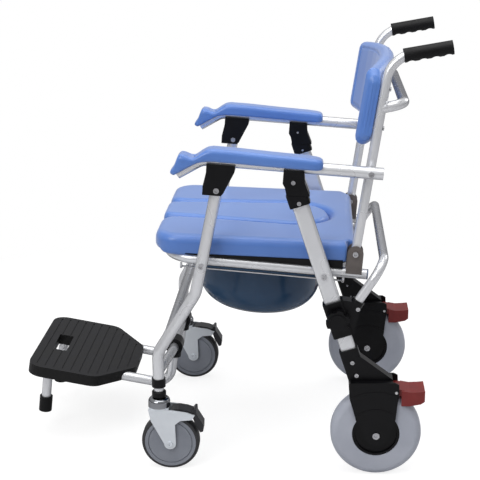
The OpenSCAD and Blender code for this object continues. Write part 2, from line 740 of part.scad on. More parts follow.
// Flat end of the seat, as a band of triangles between its outer edge and the keyhole
function seat_cap() = [for (i = [0:seat_outer_last - 1]) each concat(
    [[i, i + 1, key_point(faced_step(i))]],
    [for (j = [faced_step(i):1:faced_step(i + 1) - 1]) [i + 1, key_point(j + 1), key_point(j)]])];
function seat_outline() = let (w = seat_half_w, l = seat_half_l, f = seat_front_corner, r = seat_rear_corner,
                               m = seat_mouth_corner, k = key_half(-seat_half_l + seat_mouth_corner)) concat(
    arc([k + m, -l + m], m, 180, 270, mouth_steps),
    arc([w - f, -l + f], f, 270, 360, corner_steps),
    arc([w - r, l - r], r, 0, 90, corner_steps),
    [[0, l]],
    arc([-w + r, l - r], r, 90, 180, corner_steps),
    arc([-w + f, -l + f], f, 180, 270, corner_steps),
    arc([-k - m, -l + m], m, 270, 360, mouth_steps),
    arc([0, seat_key_y], key_r, half_turn + key_lean, -key_lean, key_steps));
module seat_pad() {
    color("cornflowerblue") place(left) difference() {
        on_seat() moulded_pad(seat_outline(), seat_thick, seat_inset, seat_cap());
        for (side = [-1, 1]) hinge_relief(side);
    }
}
// Room in the seat's rear corners for a hinge bracket, and for a back tube as it folds
module hinge_relief(side) {
    reach = rail_d / 2 + hinge_plate + bolt_head_h + 2 * fit_move;
    half = back_d / 2 + fit_move;
    lean = back_lean - fold_max - fold_margin;
    ahead = [-cos(lean), sin(lean)];
    along = [sin(lean), cos(lean)];
    on_rail() in_side_plane(side * rail_half) linear_extrude(2 * reach, center = true)
        translate([back_pivot_run - hinge_plate_w / 2 - fit_move, back_pivot_rise - fold_sweep / 2])
            square([fold_sweep, fold_sweep]);
    in_side_plane(side * rail_half) linear_extrude(2 * half + over, center = true)
        polygon([back_pivot + half * ahead, back_pivot + half * ahead + fold_sweep * along,
                 on_back(fold_sweep, half), on_back(0, half)]);
}
function insert_outline() = let (r = key_r - insert_gap, c = insert_corner,
                                 k = key_half(-seat_half_l + insert_corner) - insert_gap / cos(key_lean))
                                     concat(
    arc([-k + c, -seat_half_l + c], c, 180, 270, mouth_steps),
    arc([k - c, -seat_half_l + c], c, 270, 360, mouth_steps),
    arc([0, seat_key_y], r, -key_lean, half_turn + key_lean, key_steps));
module seat_insert() {
    color("royalblue") place(left) on_seat() moulded_pad(insert_outline(), seat_thick, insert_inset);
}
module pivot_bolts() {
    rail_in = rail_half - rail_d / 2 - fit_seat;
    spacer_from = rail_half + rail_d / 2 + fit_seat;
    hinge_reach = rail_d / 2 + fit_seat + hinge_plate + fit_seat;
    color("gainsboro") both() {
        cross_bolt(front_pivot, rail_in, track_half + leg_d / 2 + fit_seat, bolt_d);
        cross_rod(front_pivot[0], front_pivot[1], spacer_from, track_half - leg_d / 2 - fit_seat, spacer_d);
        cross_bolt(rear_pivot, rail_in, track_half + rear_tube_w / 2 + fit_seat, bolt_d);
        cross_rod(rear_pivot[0], rear_pivot[1], spacer_from, track_half - rear_tube_w / 2 - fit_seat,
            spacer_d);
        cross_bolt(back_pivot, rail_half - hinge_reach, rail_half + hinge_reach, bolt_d);
    }
}

// Bucket: a round bowl that hangs by its rim in a flat flange, which lies on the wires
module at_bucket() {
    translate([0, bucket_run, wire_d / 2 + fit_move - wire_drop]) children();
}
module bucket() {
    rim_z = flange_t + fit_seat;
    color("darkslategray") place(left) on_rail() at_bucket() difference() {
        union() {
            translate([0, 0, -bucket_depth]) rotate_extrude()
                bowl_profile(bucket_r + bucket_wall, bucket_depth + rim_z + bowl_rim_h,
                    bucket_corner + bucket_wall);
            translate([0, 0, rim_z]) cylinder(r = bucket_r + bucket_wall + bowl_rim_w, h = bowl_rim_h);
        }
        translate([0, 0, bucket_wall - bucket_depth])
            rotate_extrude() bowl_profile(bucket_r, bucket_depth + rim_z + bowl_rim_h, bucket_corner);
    }
}
module bucket_flange() {
    color("darkslategray") place(left) on_rail() at_bucket() linear_extrude(flange_t) difference() {
        rounded_square(2 * flange_half_w, 2 * flange_half_l, flange_corner);
        circle(r = bucket_r + bucket_wall + fit_seat);
    }
}
module bowl_profile(r, h, corner) {
    square([r - corner, h]);
    translate([0, corner]) square([r, h - corner]);
    intersection() {
        translate([r - corner, corner]) circle(r = corner);
        square([r, h]);
    }
}

// Back frame
module back_tubes() {
    color("silver") both() difference() {
        in_side_plane(rail_half) path_tube(back_path, handle_bend_r, back_d, tube_wall);
        for (p = [back_pivot, arm_rear_pivot])
            cross_rod(p[0], p[1], rail_half - back_d, rail_half + back_d, bolt_d + 2 * fit_run);
        for (run = pad_bolt_runs) along_back(run, -back_d, 2 * back_d, screw_d + 2 * fit_run);
    }
}
pad_bolt_runs = [for (share = [0.24, 0.70]) pad_from + share * (pad_to - pad_from)];
// Rod square to the back tube, starting a distance behind its centre line
module along_back(run, from, length, d) {
    p = on_back(run, from);
    translate([rail_half, p[0], p[1]]) rotate([-90 - back_lean, 0, 0]) cylinder(d = d, h = length);
}
module back_hoop() {
    root = on_back(hoop_run, 0);
    color("silver") place(left) difference() {
        translate([0, root[0], root[1]]) rotate([handle_slope, 0, 0])
            path_tube([[rail_half, 0], [rail_half, hoop_reach], [-rail_half, hoop_reach], [-rail_half, 0]],
                      hoop_bend_r, hoop_d, tube_wall);
        for (side = [-1, 1]) in_side_plane(side * rail_half)
            path_rod(back_path, handle_bend_r, back_d + 2 * fit_seat, 0);
    }
}
// Section of the back pad at a share of the half width: front to rear, and up the back tubes
function pad_ring(share) = let (
    fall = max(0, 1 - pow(share / pad_inner_share, 2)),
    end = max(0, (abs(share) - pad_end_share) / (1 - pad_end_share)),
    low = pad_from + pad_rim * end * end,
    high = pad_to - pad_rim * pad_side_drop_share * share * share - pad_rim * end * end,
    half = pad_thick / 2 * (1 - end * end / 2),
    mid = -back_d / 2 - fit_seat - half + pad_curve * fall,
    r = half) [for (q = concat(
        arc([mid, low + r], r, half_turn, 2 * half_turn, pad_round_steps),
        arc([mid, high - r], r, 0, half_turn, pad_round_steps)))
        let (p = on_back(q[1], q[0])) [share * pad_half_w, p[0], p[1]]];
module backrest_pad() {
    color("cornflowerblue") place(left) skin([for (s = pad_across_shares) pad_ring(s)]);
}
module push_grips() {
    color("black") both() in_side_plane(rail_half) difference() {
        at_grip() rotate([0, -90, 0]) cylinder(d = grip_d, h = grip_len);
        path_rod(back_path, handle_bend_r, back_d + 2 * fit_seat + 2 * bend_step, fit_seat);
        at_grip() for (i = [0:scallop_count - 1])
            translate([-(i + 0.5) * grip_len / scallop_count, -grip_d / 2 - scallop_d / 2 + scallop_cut, 0])
                cylinder(d = scallop_d, h = 2 * grip_d, center = true);
    }
}
module at_grip() {
    translate([grip_end[0], grip_end[1], 0]) rotate([0, 0, handle_slope]) children();
}
module back_bolts() {
    rail_in = rail_half - back_d / 2 - fit_seat;
    color("gainsboro") both() {
        cross_bolt(arm_rear_pivot, rail_in, track_half + arm_d / 2 + fit_seat, bolt_d);
        cross_rod(arm_rear_pivot[0], arm_rear_pivot[1], rail_half + back_d / 2 + fit_seat,
                  track_half - arm_d / 2 - fit_seat, spacer_d);
        for (run = pad_bolt_runs) {
            along_back(run, -back_d / 2, back_d + fit_seat + screw_head_h / 2, screw_d);
            along_back(run, back_d / 2 + fit_seat, screw_head_h, screw_head_d);
        }
    }
}

// Armrests
module armrest_tube(side) {
    color("silver") place(side) difference() {
        in_side_plane(track_half) path_tube(arm_path, leg_bend_r, arm_d, tube_wall);
        cross_rod(arm_rear_pivot[0], arm_rear_pivot[1], track_half - arm_d, track_half + arm_d,
            bolt_d + 2 * fit_run);
    }
}
// Ring of the armrest pad, flat underneath and round on top
function arm_ring(s) = let (
    y = arm_rear_pivot[0] - (arm_pad_from + s[0] * arm_pad_l) * cos(arm_slope),
    axis_z = arm_axis_z(y),
    low = axis_z + s[1] * arm_pad_h,
    high = axis_z + s[2] * arm_pad_h,
    half = s[3] * arm_pad_w / 2,
    r = min(half, high - low) / 2.4) [for (q = concat(
        arc([-half + r / 3, low + r / 3], r / 3, 180, 270, 2),
            arc([half - r / 3, low + r / 3], r / 3, 270, 360, 2),
        arc([half - r, high - r], r, 0, 90, 4), arc([-half + r, high - r], r, 90, 180, 4)))
        [track_half + q[0], y, q[1]]];
module armrest_pad(side) {
    color("cornflowerblue") place(side) difference() {
        skin([for (s = arm_pad_shares) arm_ring(s)]);
        in_side_plane(track_half) path_rod(arm_path, leg_bend_r, arm_d + 2 * fit_seat, 0);
    }
}
module arm_brackets() {
    tube_cut_d = arm_d + 2 * fit_seat;
    latch_y = on_rear_leg((latch_z - axle[1]) / rear_leg_dir[1], 0)[0];
    rise = arm_axis_z(latch_y) - latch_z;
    slot_w_x = leg_d + 2 * fit_move;
    color([0.08, 0.08, 0.09]) both() difference() {
        union() {
            in_side_plane(track_half) translate(arm_front_pivot) linear_extrude(bracket_w, center = true)
                polygon(scaled(front_bracket_shares, [front_link_len, front_link_len]));
            in_side_plane(track_half) translate([latch_y, latch_z + fit_move])
                linear_extrude(bracket_w, center = true)
                polygon(scaled(rear_bracket_shares, [rise, rise - fit_move]));
        }
        in_side_plane(track_half) path_rod(arm_path, leg_bend_r, tube_cut_d, 0);
        in_side_plane(track_half) linear_extrude(2 * bracket_w, center = true)
            polygon([on_arm(0, -bracket_drop), on_arm(0, arm_pad_h), on_arm(arm_len + arm_d, arm_pad_h),
                     on_arm(arm_len + arm_d, -bracket_drop)]);
        in_side_plane(track_half) translate(arm_front_pivot) linear_extrude(slot_w_x, center = true) {
            circle(r = bracket_slot_r);
            translate([-front_link_len / 2, -front_link_len]) square([front_link_len, front_link_len]);
        }
        cross_rod(arm_front_pivot[0], arm_front_pivot[1], track_half - bracket_w, track_half + bracket_w,
                  bolt_d + 2 * fit_seat);
        arm_screw_place(latch_y, rise) cylinder(d = screw_d + 2 * fit_seat, h = 2 * bracket_w, center = true);
    }
}
module arm_screw_place(latch_y, rise) {
    translate([track_half, latch_y - rise / 8, latch_z + rise / 2]) rotate([0, 90, 0]) children();
}
module arm_bolts() {
    latch_y = on_rear_leg((latch_z - axle[1]) / rear_leg_dir[1], 0)[0];
    rise = arm_axis_z(latch_y) - latch_z;
    reach = bracket_w / 2 + fit_seat;
    color("gainsboro") both() {
        cross_bolt(arm_front_pivot, track_half - reach, track_half + reach, bolt_d);
        arm_screw_place(latch_y, rise) {
            cylinder(d = screw_d, h = 2 * reach, center = true);
            translate([0, 0, reach]) button_head(screw_head_d, screw_head_h);
        }
    }
}

// Front frame
module front_legs() {
    color("silver") both() difference() {
        in_side_plane(track_half) path_tube(leg_path, leg_bend_r, leg_d, tube_wall);
        cross_rod(front_pivot[0], front_pivot[1], track_half - leg_d, track_half + leg_d,
            bolt_d + 2 * fit_run);
        cross_rod(arm_front_pivot[0], arm_front_pivot[1], track_half - leg_d, track_half + leg_d,
                  bolt_d + 2 * arm_hole_slack);
    }
}
module front_cross_bars() {
    cut_d = leg_d + 2 * fit_seat;
    color("silver") place(left) {
        difference() {
            cross_rod(bar_place[0], bar_place[1], -track_half, track_half, bar_d);
            cross_rod(bar_place[0], bar_place[1], -track_half - over, track_half + over,
                bar_d - 2 * tube_wall);
            for (side = [-1, 1]) in_side_plane(side * track_half) path_rod(leg_path, leg_bend_r, cut_d, 0);
        }
        difference() {
            translate([0, -stem_ahead, flip_bar_z])
                path_rod([[-track_half, 0], [-flip_bar_straight, flip_bar_behind],
                [flip_bar_straight, flip_bar_behind], [track_half, 0]], flip_bar_bend_r, flip_bar_d, 0);
            for (side = [-1, 1]) in_side_plane(side * track_half) path_rod(leg_path, leg_bend_r, cut_d, 0);
        }
    }
}
module front_leg_collars() {
    color("black") both() at_caster() translate([0, 0, leg_end_z - plug_face]) difference() {
        cylinder(d = collar_d, h = collar_h);
        translate([0, 0, -over]) cylinder(d = stem_d + 2 * fit_move, h = collar_h);
        translate([0, 0, plug_face - fit_seat]) cylinder(d = leg_d + 2 * fit_seat, h = collar_h);
    }
}

// Footrest
module footrest_tubes() {
    color("silver") both() in_side_plane(foot_half) path_tube(foot_path, foot_bend_r, foot_d, tube_wall);
}
module footrest_sleeves() {
    color("black") both() difference() {
        union() {
            cross_rod(flip_bar_place[0], flip_bar_place[1], foot_half - sleeve_l / 2,
                foot_half + sleeve_l / 2,
                      sleeve_d);
            in_side_plane(foot_half)
                path_rod([flip_bar_place - socket_to * upright_dir, flip_bar_place], 0, socket_d, 0);
        }
        cross_rod(flip_bar_place[0], flip_bar_place[1], 0, 2 * foot_half, flip_bar_d + 2 * fit_run);
        in_side_plane(foot_half)
            path_rod([foot_corner, upright_end + fit_seat * upright_dir], 0, foot_d + 2 * fit_seat, 0);
    }
}
module footplate() {
    tread_z = plate_rise;
    color("dimgray") place(left) at_footrest() difference() {
        translate([0, 0, tread_z - plate_skirt]) linear_extrude(plate_skirt) plate_outline(0);
        translate([0, 0, tread_z - plate_skirt - over]) linear_extrude(plate_skirt - plate_top + over)
            difference() {
            plate_outline(plate_wall);
            translate([0, -plate_from - slot_from])
                rounded_square(slot_w + 2 * plate_wall, slot_l + 2 * plate_wall, groove_w + plate_wall);
        }
        translate([0, 0, tread_z - groove_depth]) linear_extrude(2 * groove_depth) intersection() {
            plate_outline(groove_margin);
            for (i = [1:groove_count])
                translate([-plate_half_w, -plate_from - i * plate_l / (groove_count + 1) - groove_w / 2])
                    square([2 * plate_half_w, groove_w]);
        }
        translate([0, -plate_from - slot_from, 0]) linear_extrude(4 * plate_skirt, center = true)
            rounded_square(slot_w, slot_l, groove_w);
        for (x = [-foot_half, foot_half]) translate([x, -plate_from - plate_l / 2, 0]) rotate([-90, 0, 0]) {
            cylinder(d = foot_d + 2 * fit_seat, h = plate_l);
            translate([-foot_d / 2 - fit_seat, 0, 0]) cube([foot_d + 2 * fit_seat, plate_skirt, plate_l]);
        }
    }
}
module plate_outline(wall) {
    r = plate_corner - wall;
    front = -plate_from - plate_l + plate_corner;
    hull() {
        for (side = [-1, 1]) {
            translate([side * (plate_half_w - plate_corner), front]) circle(r = r, $fn = 32);
            translate([side * (plate_half_w - plate_corner),
                front + plate_full_share * plate_l - plate_corner])
                circle(r = r, $fn = 32);
            translate([side * (plate_rear_half_w - plate_corner), -plate_from - plate_corner])
                circle(r = r, $fn = 32);
        }
    }
}
module footrest_tips() {
    color("black") both() translate([foot_half, foot_end[0], foot_end[1]]) rotate([-foot_leg_lean, 0, 0])
        difference() {
        translate([0, 0, -tip_floor]) cylinder(d = tip_d, h = tip_h);
        translate([0, 0, -fit_seat]) cylinder(d = foot_d + 2 * fit_seat, h = tip_h);
    }
}

// Telescoping stems and casters
module front_stem(side) {
    color("silver") place(side) at_caster() difference() {
        translate([0, 0, stem_bottom_z]) cylinder(d = stem_d, h = stem_top_z - stem_bottom_z);
        translate([0, 0, stem_plug_z]) cylinder(d = stem_d - 2 * tube_wall,
            h = stem_top_z - stem_plug_z + over);
        translate([0, 0, stem_bottom_z - over])
            cylinder(d = king_pin_d + 2 * fit_run, h = stem_plug_z - stem_bottom_z + 2 * over);
    }
}
module stem_ring(side) {
    inner = stem_d / 2 + fit_seat;
    outer = ring_d / 2;
    color("black") place(side) at_caster() translate([0, 0, ring_bottom_z]) rotate_extrude()
        polygon([[inner, 0], [outer - ring_edge, 0], [outer, ring_edge], [outer, ring_h - ring_edge],
                 [outer - ring_edge, ring_h], [inner, ring_h]]);
}
module caster_fork(side) {
    size = [fork_top_z, fork_top_z];
    pivot = fork_top_z * brake_pivot_shares;
    color("lightsteelblue") place(side) at_caster() {
        for (x = [-1, 1]) in_side_plane(x * (caster_fork_in + fork_sheet / 2))
            linear_extrude(fork_sheet, center = true) {
            polygon(scaled(caster_shares, size));
            translate([caster_trail, caster_d / 2]) circle(r = caster_hub_r);
        }
        translate([-caster_fork_out, -caster_top_half_l, fork_top_z - fork_sheet])
            cube([2 * caster_fork_out, 2 * caster_top_half_l, fork_sheet]);
        translate([0, 0, fork_top_z]) rotate_extrude() {
            square([dome_r - dome_round, dome_h]);
            square([dome_r, dome_h - dome_round]);
            intersection() {
                translate([dome_r - dome_round, dome_h - dome_round]) circle(r = dome_round);
                square([dome_r, dome_h]);
            }
        }
        cylinder_from(fork_top_z, king_pin_top_z, king_pin_d);
        cross_rod(caster_trail, caster_d / 2, -caster_fork_out - bolt_head_h / 2,
            caster_fork_out + bolt_head_h / 2,
                  caster_axle_d);
        for (x = [-1, 1]) translate([x * caster_fork_out, caster_trail, caster_d / 2]) rotate([0, x * 90, 0])
            button_head(bolt_head_d, bolt_head_h);
        cross_rod(pivot[0], pivot[1], -caster_fork_out - rivet_head, caster_fork_out + rivet_head, rivet_d);
    }
}
module cylinder_from(z_from, z_to, d) {
    translate([0, 0, z_from]) cylinder(d = d, h = z_to - z_from);
}
module caster_brake(side) {
    pivot = fork_top_z * brake_pivot_shares;
    color([0.15, 0.15, 0.16]) place(side) at_caster() difference() {
        in_side_plane(0) linear_extrude(caster_w, center = true)
            polygon(scaled(brake_shares, [fork_top_z, fork_top_z]));
        cross_rod(pivot[0], pivot[1], -caster_w, caster_w, rivet_d + 2 * fit_run);
    }
}
module caster_tyre(side) {
    color([0.2, 0.2, 0.2]) place(side) at_caster() translate([0, caster_trail, caster_d / 2])
        rotate([0, 90, 0])
        rotate_extrude() translate([core_r + (caster_d / 2 - core_r) / 2, 0])
            intersection() {
                square([caster_d / 2 - core_r - 2 * fit_run, caster_w - 2 * core_gap], center = true);
                translate([-tyre_edge, 0])
                    rounded_square(caster_d / 2 - core_r + 2 * tyre_edge, caster_w - 2 * core_gap, tyre_edge);
            }
}
module caster_core(side) {
    color("slategray") place(side) at_caster() translate([0, caster_trail, caster_d / 2]) rotate([0, 90, 0])
        difference() {
        cylinder(r = core_r - fit_run, h = caster_w - 2 * core_gap, center = true);
        cylinder(d = caster_axle_d + 2 * fit_run, h = 2 * caster_w, center = true);
        for (x = [-1, 1]) translate([0, 0, x * (caster_w / 2 - core_gap)]) rotate_extrude()
            translate([core_groove_r, 0]) square([core_groove_w, 2 * core_groove_depth], center = true);
    }
}

// Rear frame
module rear_leg_bar(l, w, r, from, to) {
    translate([0, 0, from]) linear_extrude(to - from) rounded_square(w, l, r);
}
module rear_legs() {
    color("silver") both() at_rear_leg() difference() {
        rear_leg_bar(rear_tube_l, rear_tube_w, rear_corner, rear_tube_from, rear_tube_to);
        rear_leg_bar(rear_tube_l - 2 * rear_wall, rear_tube_w - 2 * rear_wall, inner_corner,
            rear_tube_from - over,
                     rear_tube_to + over);
        cross_rod(0, rear_pivot_up, -rear_tube_w, rear_tube_w, bolt_d + 2 * fit_run);
        cross_rod(0, (cap_from + rear_tube_to) / 2, -rear_tube_w, rear_tube_w, screw_d + 2 * fit_seat);
    }
}
module brace_frame() {
    translate([0, brace_base[0], brace_base[1]]) rotate([brace_angle, 0, 0]) children();
}
module rear_brace() {
    color("silver") place(left) brace_frame()
        path_tube([[track_half, -brace_socket], [track_half, brace_len], [-track_half, brace_len],
                   [-track_half, -brace_socket]], brace_bend_r, brace_d, tube_wall);
}
module rear_clamps() {
    boss_d = brace_d + 2 * brace_boss_wall;
    color([0.08, 0.08, 0.09]) both() difference() {
        union() {
            at_rear_leg() rear_leg_bar(clamp_l, clamp_w, rear_corner, clamp_from, clamp_to);
            brace_frame() translate([track_half, -brace_socket - brace_boss_wall, 0]) rotate([-90, 0, 0])
                cylinder(d = boss_d, h = brace_socket + brace_lip + brace_boss_wall);
            at_rear_leg() in_side_plane(0) linear_extrude(boss_d, center = true)
                polygon([[0, clamp_from], [clamp_l / 2, clamp_from], [brace_back, brace_run - boss_d / 2],
                         [brace_back, brace_run], [clamp_l / 2, clamp_to], [0, clamp_to]]);
        }
        at_rear_leg() {
            rear_leg_bar(rear_tube_l + 2 * fit_seat, rear_tube_w + 2 * fit_seat, rear_corner,
                rear_tube_from - fit_seat,
                         clamp_to + boss_d);
            rear_leg_bar(inner_l + 2 * fit_move, inner_w + 2 * fit_move, inner_corner, clamp_from - over,
                         rear_tube_from);
            cross_rod(0, knob_run, 0, clamp_w, bolt_d + 2 * fit_run);
        }
        brace_frame() translate([track_half, -brace_socket - fit_seat, 0]) rotate([-90, 0, 0])
            cylinder(d = brace_d + 2 * fit_seat, h = brace_len);
    }
}
// Caps on the rear legs, cut level where the armrests latch on
module rear_leg_caps() {
    level = (rear_tube_to - cap_from) * 2;
    color([0.08, 0.08, 0.09]) both() difference() {
        at_rear_leg() rear_leg_bar(clamp_l, bracket_w, rear_corner, cap_from, cap_from + level);
        at_rear_leg() rear_leg_bar(rear_tube_l + 2 * fit_seat, rear_tube_w + 2 * fit_seat, rear_corner,
                                   cap_from - over, rear_tube_to + fit_seat);
        translate([0, -back_link_len - pivot_ahead, latch_z])
            cube([2 * track_half, pivot_ahead + back_link_len, back_link_len]);
        at_rear_leg() cross_rod(0, (cap_from + rear_tube_to) / 2, -bracket_w, bracket_w,
            screw_d + 2 * fit_seat);
    }
}
module rear_frame_screws() {
    color("gainsboro") both() at_rear_leg() {
        cross_rod(0, (cap_from + rear_tube_to) / 2, -bracket_w / 2, bracket_w / 2 + fit_seat, screw_d);
        translate([bracket_w / 2 + fit_seat, 0, (cap_from + rear_tube_to) / 2]) rotate([0, 90, 0])
            button_head(screw_head_d, screw_head_h);
        translate([brace_d / 2 + brace_boss_wall + fit_seat, brace_back - screw_d,
            brace_run - brace_boss_wall - screw_head_d])
            rotate([0, 90, 0]) button_head(screw_head_d, screw_head_h);
    }
}
module clamp_knob(side) {
    seat_x = clamp_w / 2 + knob_gap;
    color("black") place(side) at_rear_leg() translate([seat_x, 0, knob_run]) rotate([0, 90, 0]) {
        difference() {
            union() {
                cylinder(d = knob_d, h = knob_h);
                translate([0, 0, knob_h]) cylinder(d = knob_cap_d, h = knob_cap_h);
            }
            for (i = [0:knob_lobes - 1]) rotate([0, 0, i * 360 / knob_lobes])
                translate([knob_d / 2 * knob_dent_share, 0, -over])
                    cylinder(d = knob_dent_d, h = knob_h + 2 * over);
        }
        translate([0, 0, -knob_shank]) cylinder(d = bolt_d, h = knob_shank + over);
    }
}

// Telescoping rear struts and their wheels
module rear_inner_leg(side) {
    color("silver") place(side) at_rear_leg() difference() {
        rear_leg_bar(inner_l, inner_w, inner_corner, inner_from, inner_to);
        rear_leg_bar(inner_l - 2 * tube_wall, inner_w - 2 * tube_wall, inner_corner - tube_wall,
            inner_from - over,
                     inner_to + over);
        for (run = fork_screw_runs) cross_rod(0, run, -inner_w, inner_w, screw_d + 2 * fit_seat);
    }
}
fork_screw_runs = [for (share = [0.2, 0.61]) inner_from + share * (sleeve_to - inner_from)];
module rear_fork(side) {
    size = [fork_reach, fork_height];
    color([0.07, 0.07, 0.08]) place(side) difference() {
        union() {
            translate([0, axle[0], axle[1]]) in_side_plane(track_half)
                linear_extrude(fork_outer_w, center = true)
                polygon(scaled(cheek_shares, size));
            at_rear_leg() rear_leg_bar(sleeve_l_fa, sleeve_w_x, rear_corner, sleeve_from, sleeve_to);
            at_rear_leg() in_side_plane(0) linear_extrude(sleeve_w_x, center = true)
                polygon(scaled(web_shares, size));
        }
        wheel_room();
        translate([0, axle[0], axle[1]]) in_side_plane(track_half)
            linear_extrude(2 * pocket_half_w, center = true)
            translate(pedal_pivot - [pedal_hub_r + fit_move, fork_height])
                square([fork_reach, 2 * fork_height]);
        at_rear_leg() {
            rear_leg_bar(inner_l + 2 * fit_seat, inner_w + 2 * fit_seat, inner_corner, inner_from - fit_seat,
                         sleeve_to + over);
            for (run = fork_screw_runs) cross_rod(0, run, -sleeve_w_x, sleeve_w_x, screw_d + 2 * fit_seat);
        }
        cross_rod(axle[0], axle[1], track_half - fork_outer_w, track_half + fork_outer_w,
            axle_d + 2 * fit_seat);
        for (x = [-1, 1], r = crease_shares * fork_height)
            translate([track_half + x * fork_half_w, axle[0], axle[1]])
            rotate([0, 90, 0]) rotate_extrude() translate([r, 0])
                square([crease_w, 2 * crease_depth], center = true);
        cross_rod(pedal_pivot[0], axle[1] + pedal_pivot[1], track_half - fork_outer_w,
            track_half + fork_outer_w,
                  rivet_d + 2 * fit_run);
    }
}
// Space that a rear wheel turns in
module wheel_room() {
    cross_rod(axle[0], axle[1], track_half - pocket_half_w, track_half + pocket_half_w,
        wheel_d + 2 * tyre_clear);
}
module rear_axle_bolts(side) {
    reach = fork_half_w + fit_seat;
    color("gainsboro") place(side) {
        cross_rod(axle[0], axle[1], track_half - reach, track_half + reach, axle_d);
        for (x = [-1, 1]) translate([track_half + x * reach, axle[0], axle[1]]) rotate([0, x * 90, 0])
            button_head(axle_head_d, bolt_head_h);
        at_rear_leg() for (run = fork_screw_runs) {
            cross_rod(0, run, -sleeve_w_x / 2, sleeve_w_x / 2 + fit_seat, screw_d);
            translate([sleeve_w_x / 2 + fit_seat, 0, run]) rotate([0, 90, 0])
                button_head(screw_head_d, screw_head_h);
        }
    }
}
module at_rear_wheel() {
    translate([track_half, axle[0], axle[1]]) rotate([0, 90, 0]) children();
}
module rear_tyre(side) {
    depth = wheel_d / 2 - hub_r;
    color("lightslategray") place(side) at_rear_wheel() rotate_extrude() intersection() {
        translate([hub_r + fit_run, -tyre_w / 2]) square([depth, tyre_w]);
        translate([hub_r + depth / 2 - rear_tyre_edge / 2, 0])
            rounded_square(depth + rear_tyre_edge, tyre_w, rear_tyre_edge);
    }
}
module rear_hub(side) {
    color([0.06, 0.06, 0.06]) place(side) at_rear_wheel() difference() {
        cylinder(r = hub_r - fit_run, h = hub_w, center = true);
        cylinder(d = axle_d + 2 * fit_run, h = 2 * hub_w, center = true);
        for (x = [-1, 1]) translate([0, 0, x * hub_w / 2]) rotate_extrude()
            translate([(hub_dish_r + axle_d) / 2 + axle_d / 2, 0])
                square([hub_dish_r - axle_d, 2 * hub_dish_depth], center = true);
    }
}
module brake_pedal(side) {
    size = [pedal_l, pedal_h];
    pin_half = fork_half_w + rivet_head;
    color("brown") place(side) difference() {
        translate([0, axle[0], axle[1]]) in_side_plane(track_half) translate(pedal_pivot) {
            linear_extrude(2 * fork_half_w, center = true) polygon(scaled(pedal_shares, size));
            linear_extrude(2 * neck_half_w, center = true) {
                circle(r = pedal_hub_r);
                polygon(scaled(neck_shares, size));
            }
            cylinder(d = rivet_d, h = 2 * pin_half, center = true);
        }
        wheel_room();
    }
}

seat_frame_tube();
rail_plugs();
hinge_brackets();
bucket_wires();
seat_base();
seat_pad();
pivot_bolts();
seat_insert();
bucket();
bucket_flange();
back_tubes();
back_hoop();
backrest_pad();
push_grips();
back_bolts();
armrest_tube(left);  // armrest_tube_left
armrest_tube(right);  // armrest_tube_right
armrest_pad(left);  // armrest_pad_left
armrest_pad(right);  // armrest_pad_right
arm_brackets();
arm_bolts();
front_legs();
front_cross_bars();
front_leg_collars();
footrest_tubes();
footrest_sleeves();
footplate();
footrest_tips();
front_stem(left);  // front_stem_left
front_stem(right);  // front_stem_right
stem_ring(left);  // stem_ring_left
stem_ring(right);  // stem_ring_right
caster_fork(left);  // caster_fork_left
caster_fork(right);  // caster_fork_right
caster_brake(left);  // caster_brake_left
caster_brake(right);  // caster_brake_right
caster_tyre(left);  // caster_tyre_left
caster_tyre(right);  // caster_tyre_right
caster_core(left);  // caster_core_left
caster_core(right);  // caster_core_right
rear_legs();
rear_brace();
rear_clamps();
rear_leg_caps();
rear_frame_screws();
clamp_knob(left);  // clamp_knob_left
clamp_knob(right);  // clamp_knob_right
rear_inner_leg(left);  // rear_inner_leg_left
rear_inner_leg(right);  // rear_inner_leg_right
rear_fork(left);  // rear_fork_left
rear_fork(right);  // rear_fork_right
rear_axle_bolts(left);  // rear_axle_bolts_left
rear_axle_bolts(right);  // rear_axle_bolts_right
rear_tyre(left);  // rear_tyre_left
rear_tyre(right);  // rear_tyre_right
rear_hub(left);  // rear_hub_left
rear_hub(right);  // rear_hub_right
brake_pedal(left);  // brake_pedal_left
brake_pedal(right);  // brake_pedal_right
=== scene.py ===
# Folding shower commode chair: materials, moulded pads, small details, light and camera
import json
import math

import bpy
from mathutils import Matrix, Vector


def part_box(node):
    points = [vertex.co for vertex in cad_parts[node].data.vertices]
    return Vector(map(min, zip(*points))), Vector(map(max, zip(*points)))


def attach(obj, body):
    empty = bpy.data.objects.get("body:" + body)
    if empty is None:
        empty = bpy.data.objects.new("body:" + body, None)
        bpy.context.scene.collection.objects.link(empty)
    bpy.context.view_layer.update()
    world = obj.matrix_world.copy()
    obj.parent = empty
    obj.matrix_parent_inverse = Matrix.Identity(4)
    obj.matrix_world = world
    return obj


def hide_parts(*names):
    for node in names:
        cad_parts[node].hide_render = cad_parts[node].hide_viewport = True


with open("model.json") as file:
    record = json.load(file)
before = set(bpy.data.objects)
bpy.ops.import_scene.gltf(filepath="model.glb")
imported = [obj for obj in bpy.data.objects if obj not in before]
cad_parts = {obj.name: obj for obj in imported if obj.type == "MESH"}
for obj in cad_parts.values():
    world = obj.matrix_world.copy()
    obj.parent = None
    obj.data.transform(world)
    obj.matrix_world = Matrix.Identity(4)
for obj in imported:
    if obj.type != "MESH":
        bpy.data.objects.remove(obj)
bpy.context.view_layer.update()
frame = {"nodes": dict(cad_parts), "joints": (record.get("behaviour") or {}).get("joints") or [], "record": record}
nodes = frame["nodes"]

MM = 0.001
MICRON = 0.000001

# Lean of the back tubes from upright
BACK_LEAN = math.radians(8.6)
# CAD edges that bend more than this stay sharp
CREASE_ANGLE = math.radians(32)

